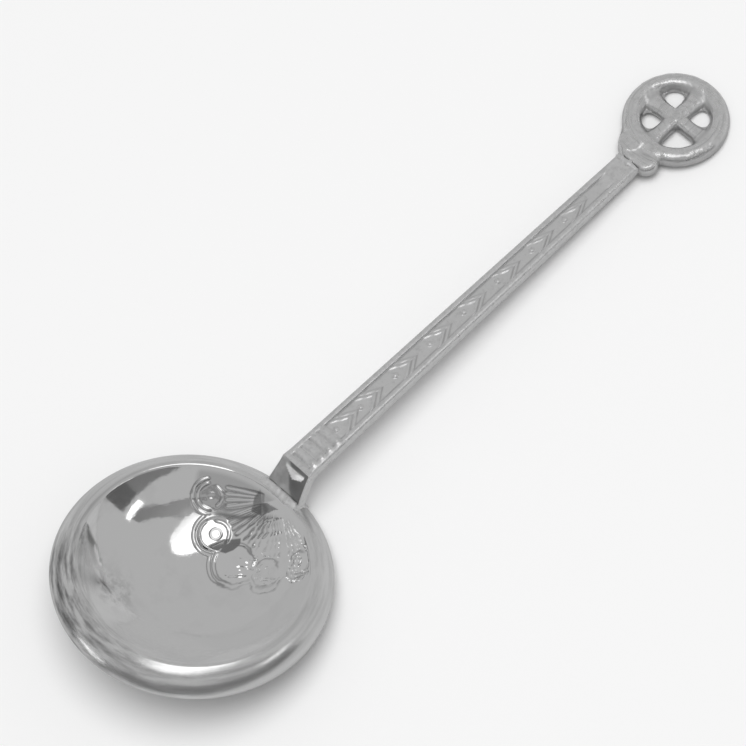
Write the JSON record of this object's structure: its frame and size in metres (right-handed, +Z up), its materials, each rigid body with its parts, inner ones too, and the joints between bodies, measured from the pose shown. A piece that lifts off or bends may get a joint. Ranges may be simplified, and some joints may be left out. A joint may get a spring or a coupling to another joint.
{
  "type": "incense spoon",
  "caption": "Ladle-shaped incense spoon with a shallow round bowl, a stepped tapering handle with relief ornament and a pierced wheel finial.",
  "frame": {"origin": "middle of the underside of the whole spoon's box, on the table it lies on", "axes": "+X from the bowl towards the finial, +Y across the handle, +Z up from the table"},
  "size_m": [0.1272, 0.04, 0.0144],
  "materials": {
    "polished_plate": "polished silver plate",
    "cast_plate": "cast relief under silver plate, satin with polished edges",
    "cast_wheel_plate": "soft-edged casting under silver plate, satin",
    "solder_plate": "plated solder, dull",
    "seam_plate": "plated solder, dull"
  },
  "bodies": {
    "root": {"bowl": "polished_plate", "handle": "cast_plate", "finial": "cast_wheel_plate", "foot_solder": "solder_plate", "finial_solder": "seam_plate"}
  },
  "joints": []
}
